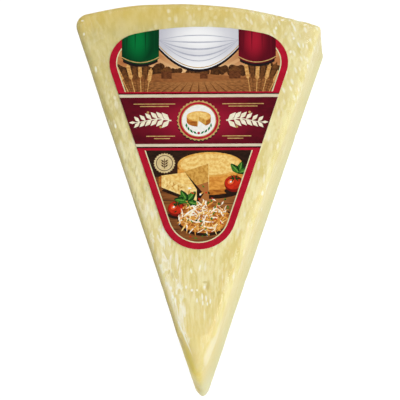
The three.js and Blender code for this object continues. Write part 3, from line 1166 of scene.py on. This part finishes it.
def drawStillLife(draw):
    top = labelSettings["tableTop"]
    foot = labelSettings["pastFoot"]
    printShape(levelShape(foot, top), "table", "field")
    onTable(crestShape(foot, lambda u: -30.5 - 0.05 * u), "board")
    for plank in (-33.4, -37.2, -41.6, -46.6):
        def gap(share):
            return Vector((-20 + 40 * share, plank - 2 * share))

        onTable(stripShape(gap, lambda share: 0.22, 4), "boardLine")
    drawWheel()
    drawTomato((11.0, -32.2), 3.0, draw)
    drawBasil((12.6, -28.6), (75, 130, 20), 2.2)
    drawCutWedge(draw)
    drawTomato((-6.9, -40.4), 2.7, draw)
    drawBasil((-3.6, -37.9), (-20, 50, 118, 170), 2.3)
    drawShreds((1.8, -43.6), draw)
    for fleck in range(60):
        place = Vector((1.0, -41.5)) + pointAt(draw.uniform(0, 360), draw.uniform(3, 9))
        radii = (draw.uniform(0.3, 0.75), draw.uniform(0.18, 0.36))
        ink = draw.choice(("basilShade", "basil", "basil", "tomato", "shredGold", "shred"))
        onTable(roundShape(place, radii, draw.uniform(0, 180), 6, 0.4), ink)
    drawSeal((-10.7, -25.3), 0.8)


def drawWheel():
    centre = Vector((3.6, -25.8))
    radii = (10.2, 4.1)
    height = 6.0
    down = Vector((0, -height))
    onTable(roundShape(centre + Vector((0.6, -height - 0.7)), (11.2, 4.7), steps=32), "shadow")
    onTable(drumShape(centre, radii, height), "rind")
    onTable(drumShape(centre + Vector((0, -1.5)), radii, height - 3.2), "rindLight")
    onTable(roundShape(centre, radii, steps=40), "cheeseTop")
    onTable(roundShape(centre, (radii[0] * 0.91, radii[1] * 0.86), steps=40), "cheesePale")
    apex = centre + Vector((-0.6, 0.3))
    near = centre + Vector((-8.3, -2.4))
    far = centre + Vector((-0.4, -4.1))
    onTable([apex, near, near + down, apex + down], "cutShade")
    onTable([apex, apex + down, far + down, far], "cutFace")
    opening = [near + down, apex + down, far + down, far + down * 1.5, near + down * 1.4]
    onTable(opening, "board")


def drawCutWedge(draw):
    back, side, tip = Vector((-11.6, -29.4)), Vector((-4.2, -28.4)), Vector((-0.6, -34.0))
    down = Vector((0, -3.9))
    onTable([back + down * 1.3, tip + down * 1.25, tip + Vector((2.2, -1.5)), side], "shadow")
    onTable([back, tip, side], "cheesePale")
    onTable([back, back + down, tip + down, tip], "cutFace")
    rind = [back, back + Vector((-0.9, -0.5)), back + down + Vector((-0.8, 0.3)), back + down]
    onTable(rind, "rind")
    for crag in range(16):
        share = draw.uniform(0.08, 0.92)
        place = back.lerp(tip, share) + down * draw.uniform(0.15, 0.85)
        radii = (draw.uniform(0.4, 0.9), 0.2)
        onTable(roundShape(place, radii, draw.uniform(30, 110), 6), "cutShade")


def drawTomato(centre, radius, draw):
    spot = Vector(centre)
    for shift, width, height, turn, steps, ink in (
            ((0.1, -0.8), 1.1, 0.42, 0, 24, "shadow"),
            ((0, 0), 1, 0.92, 0, 28, "tomatoShade"),
            ((-0.1, 0.1), 0.84, 0.74, 0, 24, "tomato"),
            ((-0.32, 0.22), 0.36, 0.26, 35, 24, "tomatoLight"),
            ((-0.32, 0.22), 0.14, 0.09, 35, 10, "paper")):
        radii = (radius * width, radius * height)
        onTable(roundShape(spot + Vector(shift) * radius, radii, turn, steps), ink)
    for sepal in range(6):
        angle = 60 * sepal + draw.uniform(-12, 12)
        reach = pointAt(angle, radius * 0.34)
        place = spot + Vector((0.1, 0.6)) * radius + Vector((reach.x, reach.y * 0.45))
        onTable(roundShape(place, (radius * 0.34, radius * 0.09), angle, 8, 0.8), "basilShade")


def drawBasil(centre, angles, size):
    for angle in angles:
        place = Vector(centre) + pointAt(angle, size * 0.8)
        onTable(roundShape(place, (size, size * 0.52), angle, 14, 0.45), "basilShade")
        upper = place + pointAt(angle + 90, size * 0.1)
        onTable(roundShape(upper, (size * 0.86, size * 0.34), angle, 14, 0.5), "basil")
        onTable(roundShape(place, (size * 0.8, size * 0.06), angle, 8), "basilLight")


def drawShreds(centre, draw):
    middle = Vector(centre)
    onTable(roundShape(middle + Vector((0.2, -0.5)), (8.6, 5.3), steps=28), "shadow")
    onTable(roundShape(middle, (8.0, 4.8), steps=28), "shredShade")
    for shred in range(150):
        reach = pointAt(draw.uniform(0, 360), math.sqrt(draw.uniform(0, 1)))
        place = middle + Vector((reach.x * 8.0, 0.4 + reach.y * 4.8))
        radii = (draw.uniform(1.0, 2.2), draw.uniform(0.15, 0.3))
        ink = draw.choice(("shred", "shred", "cheesePale", "shredGold", "shredGold", "rindLight"))
        turn = draw.gauss(30, 55)
        onTable(roundShape(place, radii, turn, 8, 0.2, draw.uniform(-0.6, 0.6)), ink)


def drawSeal(centre, size):
    for radius, ink in ((4.5, "sealLine"), (4.22, "seal")):
        printShape(scallopShape(centre, radius * size, (radius - 0.35) * size, 24), ink)
    for radius, ink in ((3.3, "sealLine"), (3.02, "seal")):
        printShape(discShape(centre, radius * size, 32), ink)
    for leaf in range(3):
        for side in (-1, 1):
            place = Vector(centre) + Vector((side * 0.75, -1.1 + leaf)) * size
            radii = (0.85 * size, 0.36 * size)
            printShape(roundShape(place, radii, 90 - side * 48, 10, 0.7), "sealLine")
    low, high = centre[1] - 2.2 * size, centre[1] + 2 * size
    printShape(boxShape(centre[0] - 0.12, low, centre[0] + 0.12, high), "sealLine")


def labelPlace():  # from the label's plane to the part's metres
    hub = labelSettings["hub"]
    turn = Matrix.Rotation(math.radians(labelSettings["turn"]), 4, "Z")
    return Matrix.Scale(mm, 4) @ Matrix.Translation((hub[0], hub[1], 0)) @ turn


def labelOutline():  # the solid's own outline, in the label's plane
    work = bmesh.new()
    work.from_mesh(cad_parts["label"].data)
    bmesh.ops.remove_doubles(work, verts=work.verts, dist=0.001 * mm)
    bmesh.ops.dissolve_limit(work, angle_limit=math.radians(2), verts=work.verts, edges=work.edges)
    top = max(work.faces, key=lambda face: face.calc_center_median().z)
    back = labelPlace().inverted()
    outline = [(back @ vert.co).to_2d() for vert in top.verts]
    work.free()
    return outline


def drawLabel():  # returns the windows that the shapes show inside
    settings = labelSettings
    draw = random.Random(settings["seed"])
    sheet = labelOutline()
    field = insetOutline(sheet, settings["border"] + settings["hairline"])
    printShape(sheet, "crimson")
    printShape(insetOutline(sheet, settings["border"]), "hairlineInk")
    drawCountry(draw)
    drawStillLife(draw)
    drawBand()
    drawDrapes()
    return {
        "sheet": sheet,
        "field": field,
        "country": levelShape(settings["countryFoot"], settings["pastTop"]),
        "table": levelShape(settings["pastFoot"], settings["tableTop"]),
        "drapes": levelShape(settings["drapesFoot"], settings["pastTop"]),
    }


def cutSheet(outlines):  # flat points, the faces between all outlines, and which of them cover each face
    points, loops = [], []
    for outline in outlines:
        corners = [Vector((u, v, 0)) for u, v in outline]
        if geometry.normal(corners).z < 0:
            corners.reverse()
        loops.append(range(len(points), len(points) + len(corners)))
        points += [corner.to_2d() for corner in corners]
    cut = geometry.delaunay_2d_cdt(points, [], loops, 0, 0.0001, True)
    return cut[0], cut[2], cut[5]


def topInk(cover, names):  # the last ink printed there inside its window; None off the sheet
    shown = {names[index] for index in cover if index < len(names)}
    if "sheet" not in shown:
        return None
    for index in sorted(cover, reverse=True):
        if index < len(names):
            break
        outline, ink, window = artwork[index - len(names)]
        if window in shown and (window not in ("country", "table") or "field" in shown):
            return ink
    return "crimson"


def pressLabel():  # one sheet, cut along every outline, with the topmost ink on each face
    windows = drawLabel()
    outlines = list(windows.values()) + [outline for outline, ink, window in artwork]
    points, faces, covers = cutSheet(outlines)
    names = list(windows)
    work = bmesh.new()
    layers = {name: work.loops.layers.float_color.new(name) for name in inkLayers}
    verts = [work.verts.new((point.x, point.y, 0)) for point in points]
    for corners, cover in zip(faces, covers):
        ink = topInk(cover, names)
        if ink:
            paintFace(work.faces.new([verts[corner] for corner in corners]), layers, inks[ink])
    thickenSheet(work, layers)
    mesh = bpy.data.meshes.new("label")
    work.to_mesh(mesh)
    work.free()
    return newPiece("printedSheet", mesh)


def thickenSheet(work, layers):  # edges and a back of bare paper, then the whole put in its place
    printed = set(work.faces)
    edge = [line for line in work.edges if line.is_boundary]
    walls = bmesh.ops.extrude_edge_only(work, edges=edge)["geom"]
    foot = [part for part in walls if isinstance(part, bmesh.types.BMVert)]
    low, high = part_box("label")
    bmesh.ops.translate(work, verts=foot, vec=(0, 0, (low[2] - high[2]) / mm))
    rim = [line for line in work.edges if line.is_boundary]
    bmesh.ops.edgeloop_fill(work, edges=rim)
    for face in set(work.faces) - printed:
        paintFace(face, layers, inks["paper"])
    bmesh.ops.delete(work, geom=[vert for vert in work.verts if not vert.link_faces], context="VERTS")
    bmesh.ops.recalc_face_normals(work, faces=work.faces)
    place = Matrix.Translation((0, 0, high[2])) @ labelPlace()
    bmesh.ops.transform(work, matrix=place, verts=work.verts)


def paintFace(face, layers, ink):
    colour, second, across, along = ink[:4]
    glow, strength = ink[4:] if len(ink) > 4 else (colour, 0)
    for corner in face.loops:
        corner[layers["ink"]] = srgb(*colour)
        corner[layers["shade"]] = srgb(*second)
        corner[layers["glow"]] = (*srgb(*glow)[:3], strength)
        corner[layers["streaks"]] = (across, along, 0, 1)


def makeLabelMaterial():
    settings = labelSettings
    values = {"Roughness": 0.5, "Specular IOR Level": 0.05}
    material, tree, surface = newMaterial("printedPaper", values)
    turn = settings["turn"]
    hub = Matrix.Rotation(-math.radians(turn), 2) @ Vector(settings["hub"])
    place = addNode(tree, "TexCoord").outputs["Object"]
    flat = moved(place, (-hub.x, -hub.y, 0), -turn, (1000, 1000, 1000))
    ink, shade, glow, streaks = (addNode(tree, "Attribute", attribute_name=name) for name in inkLayers)
    streaked = stretched(flat, streaks.outputs["Vector"])
    mottle = ramp(grainNoise(streaked, 1, 3, 0.55), 0.36, 0.64)
    colour = blendColours(mottle, ink.outputs["Color"], shade.outputs["Color"])
    lit = 0
    for (u, v), (width, height) in settings["glows"]:
        centred = moved(flat, (-u / width, -v / height, 0), stretch=(1 / width, 1 / height, 0))
        lit = calculate("MAXIMUM", lit, ramp(measure("LENGTH", centred), 0.1, 1.0, 1, 0))
    lit = product(lit, glow.outputs["Alpha"])
    colour = blendColours(lit, colour, glow.outputs["Color"])
    fibres = grainNoise(flat, 5, 2, 0.6)
    waves = grainNoise(flat, 0.12, 2, 0.5)
    relief = calculate("MULTIPLY_ADD", fibres, 0.04, waves)
    bump = nextNode("Bump", {"Strength": 0.6, "Distance": 0.4 * mm, "Height": relief})
    fillSockets(surface, {"Base Color": colour, "Normal": bump.outputs[0]})
    return material


label = pressLabel()
label.data.materials.append(makeLabelMaterial())
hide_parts("label")
print("label printed:", len(artwork), "shapes,", len(label.data.polygons), "faces")
